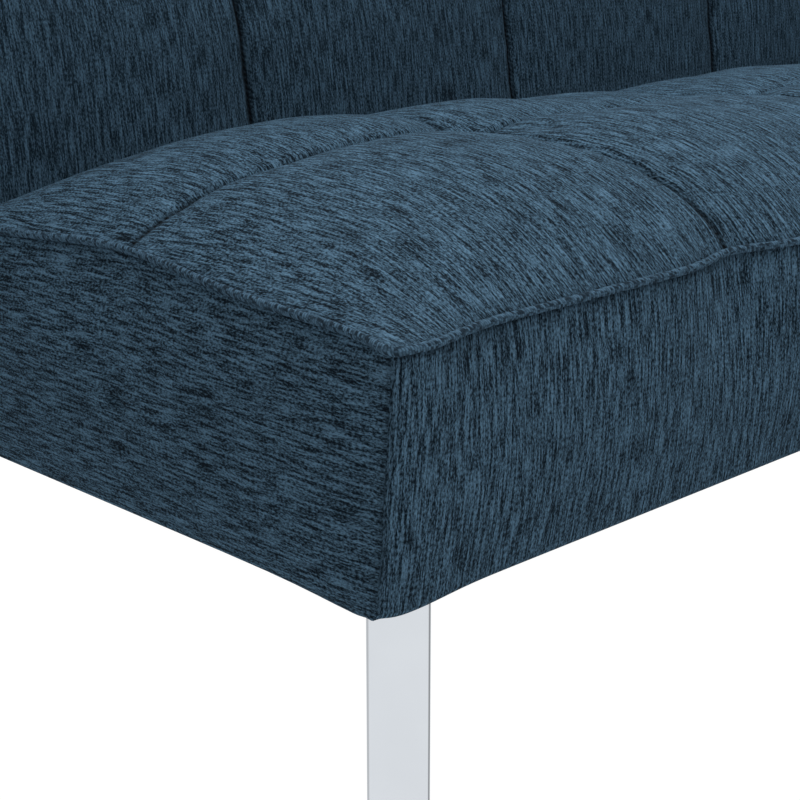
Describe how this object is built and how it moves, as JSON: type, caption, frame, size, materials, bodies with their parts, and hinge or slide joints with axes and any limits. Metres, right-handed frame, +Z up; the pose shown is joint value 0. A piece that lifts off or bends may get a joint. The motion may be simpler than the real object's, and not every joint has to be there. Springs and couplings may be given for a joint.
{
  "type": "futon sofa bed",
  "caption": "Armless sofa bed: biscuit-stitched chenille seat on chromed flat legs, with a click-clack back that reclines flat into a bed.",
  "frame": {"origin": "on the floor under the middle of the object", "axes": "+X along the seat to the right seen from the front, +Y to the back, +Z up"},
  "size_m": [1.6896, 0.7726, 0.7403],
  "materials": {
    "chenille": "matte",
    "lining": "matte",
    "foam": "matte",
    "chrome_leg": "polished",
    "black_plastic": "matte",
    "buffer_rubber": "matte",
    "zinc_steel": "satin",
    "black_steel": "satin",
    "timber": "matte"
  },
  "bodies": {
    "base": {"buffer_left": "buffer_rubber", "buffer_right": "buffer_rubber", "corner_block_left": "timber", "corner_block_right": "timber", "glide_front_left": "black_plastic", "glide_front_right": "black_plastic", "glide_rear_left": "black_plastic", "glide_rear_right": "black_plastic", "hinge_plate_bolts": "zinc_steel", "hinge_plate_left": "zinc_steel", "hinge_plate_right": "zinc_steel", "leg_bolts": "zinc_steel", "leg_front_left": "chrome_leg", "leg_front_right": "chrome_leg", "leg_plate_front_left": "black_steel", "leg_plate_front_right": "black_steel", "leg_plate_rear_left": "black_steel", "leg_plate_rear_right": "black_steel", "leg_rear_left": "chrome_leg", "leg_rear_right": "chrome_leg", "pawl_pins": "zinc_steel", "pivot_bolts": "zinc_steel", "pivot_nuts": "zinc_steel", "rail_bolts": "zinc_steel", "rail_spacers": "timber", "rear_cross_tube": "black_steel", "seat_bearer_left": "timber", "seat_bearer_right": "timber", "seat_cover": "chenille", "seat_dust_cover": "lining", "seat_end_rail_left": "timber", "seat_end_rail_right": "timber", "seat_foam": "foam", "seat_front_rail": "timber", "seat_rear_rail": "timber", "seat_slats": "timber", "seat_welt": "chenille", "side_rail_left": "black_steel", "side_rail_right": "black_steel", "tube_caps": "black_plastic"},
    "back": {"arm_bolts": "zinc_steel", "back_bottom_rail": "timber", "back_cover": "chenille", "back_end_stile_left": "timber", "back_end_stile_right": "timber", "back_foam": "foam", "back_hinge_stile_left": "timber", "back_hinge_stile_right": "timber", "back_panel": "timber", "back_slats": "timber", "back_top_rail": "timber", "back_welt": "chenille", "recliner_arm_left": "zinc_steel", "recliner_arm_right": "zinc_steel"},
    "pawl_left": {"pawl_left": "zinc_steel"},
    "pawl_right": {"pawl_right": "zinc_steel"}
  },
  "joints": [
    {"name": "back_recline", "type": "hinge", "parent": "base", "child": "back", "pos_m": [0, 0.20645, 0.28014], "axis": [-1, 0, 0], "range_deg": [-8, 78]},
    {"name": "pawl_lift_left", "type": "hinge", "parent": "base", "child": "pawl_left", "pos_m": [-0.702, 0.18446, 0.21814], "axis": [-1, 0, 0], "range_deg": [0, 14], "stiffness_Nm_per_rad": 0.4, "springref_deg": -17.19},
    {"name": "pawl_lift_right", "type": "hinge", "parent": "base", "child": "pawl_right", "pos_m": [0.702, 0.18446, 0.21814], "axis": [-1, 0, 0], "range_deg": [0, 14], "stiffness_Nm_per_rad": 0.4, "springref_deg": -17.19}
  ]
}
